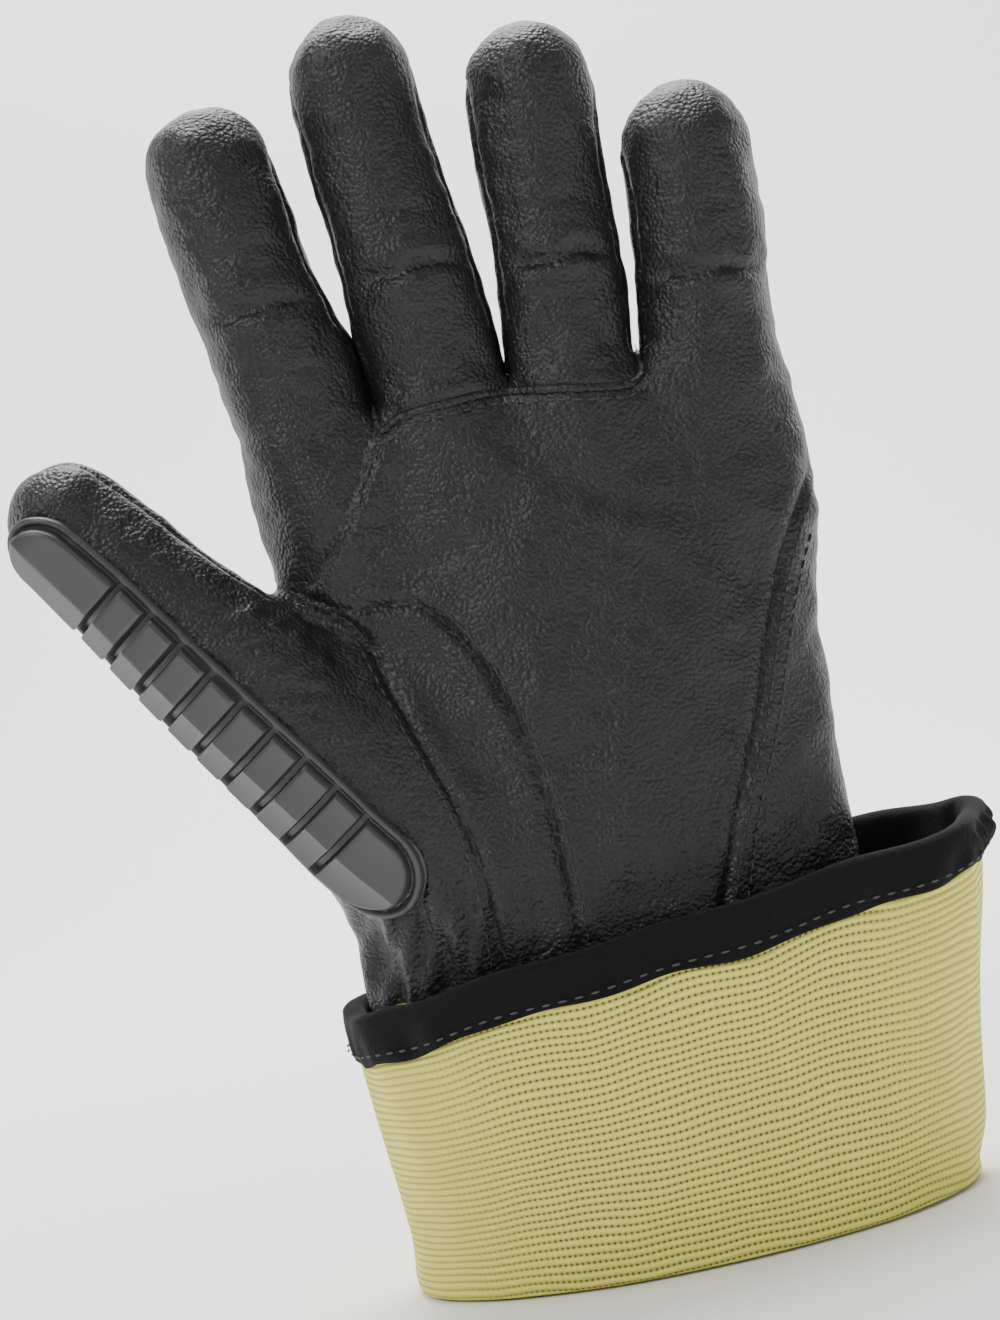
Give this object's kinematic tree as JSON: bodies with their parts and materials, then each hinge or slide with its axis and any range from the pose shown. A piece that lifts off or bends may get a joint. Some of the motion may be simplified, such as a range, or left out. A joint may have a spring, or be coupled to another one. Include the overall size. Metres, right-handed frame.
{
  "type": "lined leather work glove",
  "caption": "Left-hand black leather work glove with a moulded thumb guard and a folded-back knit-lined cuff.",
  "frame": {"origin": "middle of the glove's overall box, on the floor it stands on", "axes": "+X to the little finger, -Y to the palm side, +Z to the fingertips"},
  "size_m": [0.188, 0.0726, 0.2672],
  "materials": {
    "goatskin": "fine pebble grain, semi-gloss",
    "aramid_knit": "rib knit, dull",
    "moulded_rubber": "moulded, satin",
    "velvet_binding": "short pile",
    "suede": "napped, matt",
    "thread": "twisted, waxed",
    "elastic": "woven, matt"
  },
  "bodies": {
    "hand": {"palm_panel": "goatskin", "middle_ring_panel": "goatskin", "thumb_gusset": "goatskin", "wrist_wedge": "goatskin", "back_panel": "goatskin", "index_middle_fork": "goatskin", "middle_ring_fork": "goatskin", "ring_little_fork": "goatskin", "finger_base_welt": "goatskin", "hand_liner": "aramid_knit", "wrist_elastic": "elastic", "cuff_leather": "suede", "cuff_lining": "aramid_knit", "cuff_binding": "velvet_binding", "knuckle_guard_pad": "moulded_rubber", "knuckle_guard_blocks": "moulded_rubber", "back_guard_pad": "moulded_rubber", "back_guard_blocks": "moulded_rubber", "thumb_seam_thread": "thread", "gusset_thread": "thread", "wedge_thread": "thread"},
    "index_end": {"index_front": "goatskin", "index_back": "goatskin", "index_little_side_fork": "goatskin", "index_liner": "aramid_knit", "index_guard_pad": "moulded_rubber", "index_guard_blocks": "moulded_rubber"},
    "middle_end": {"middle_front": "goatskin", "middle_back": "goatskin", "middle_thumb_side_fork": "goatskin", "middle_little_side_fork": "goatskin", "middle_liner": "aramid_knit", "middle_guard_pad": "moulded_rubber", "middle_guard_blocks": "moulded_rubber"},
    "ring_end": {"ring_front": "goatskin", "ring_back": "goatskin", "ring_thumb_side_fork": "goatskin", "ring_little_side_fork": "goatskin", "ring_liner": "aramid_knit", "ring_guard_pad": "moulded_rubber", "ring_guard_blocks": "moulded_rubber"},
    "little_end": {"little_front": "goatskin", "little_back": "goatskin", "little_thumb_side_fork": "goatskin", "little_liner": "aramid_knit", "little_guard_pad": "moulded_rubber", "little_guard_blocks": "moulded_rubber"},
    "thumb": {"thumb_front": "goatskin", "thumb_back": "goatskin", "thumb_liner": "aramid_knit", "thumb_guard_pad": "moulded_rubber", "thumb_guard_blocks": "moulded_rubber"}
  },
  "joints": [
    {"name": "index_flex", "type": "hinge", "parent": "hand", "child": "index_end", "pos_m": [-0.03371, -0.00522, 0.20974], "axis": [0.9871, 0, 0.1599], "range_deg": [0, 65]},
    {"name": "middle_flex", "type": "hinge", "parent": "hand", "child": "middle_end", "pos_m": [-0.00245, -0.0053, 0.21169], "axis": [0.9978, 0, 0.0663], "range_deg": [0, 65]},
    {"name": "ring_flex", "type": "hinge", "parent": "hand", "child": "ring_end", "pos_m": [0.02972, -0.00509, 0.20774], "axis": [0.9989, 0, -0.0471], "range_deg": [0, 65]},
    {"name": "little_flex", "type": "hinge", "parent": "hand", "child": "little_end", "pos_m": [0.05831, -0.00457, 0.19764], "axis": [0.9947, 0, -0.1028], "range_deg": [0, 65]},
    {"name": "thumb_swing", "type": "hinge", "parent": "hand", "child": "thumb", "pos_m": [-0.0125, 0, 0.07], "axis": [0.9575, 0, 0.2885], "range_deg": [0, 22]}
  ]
}
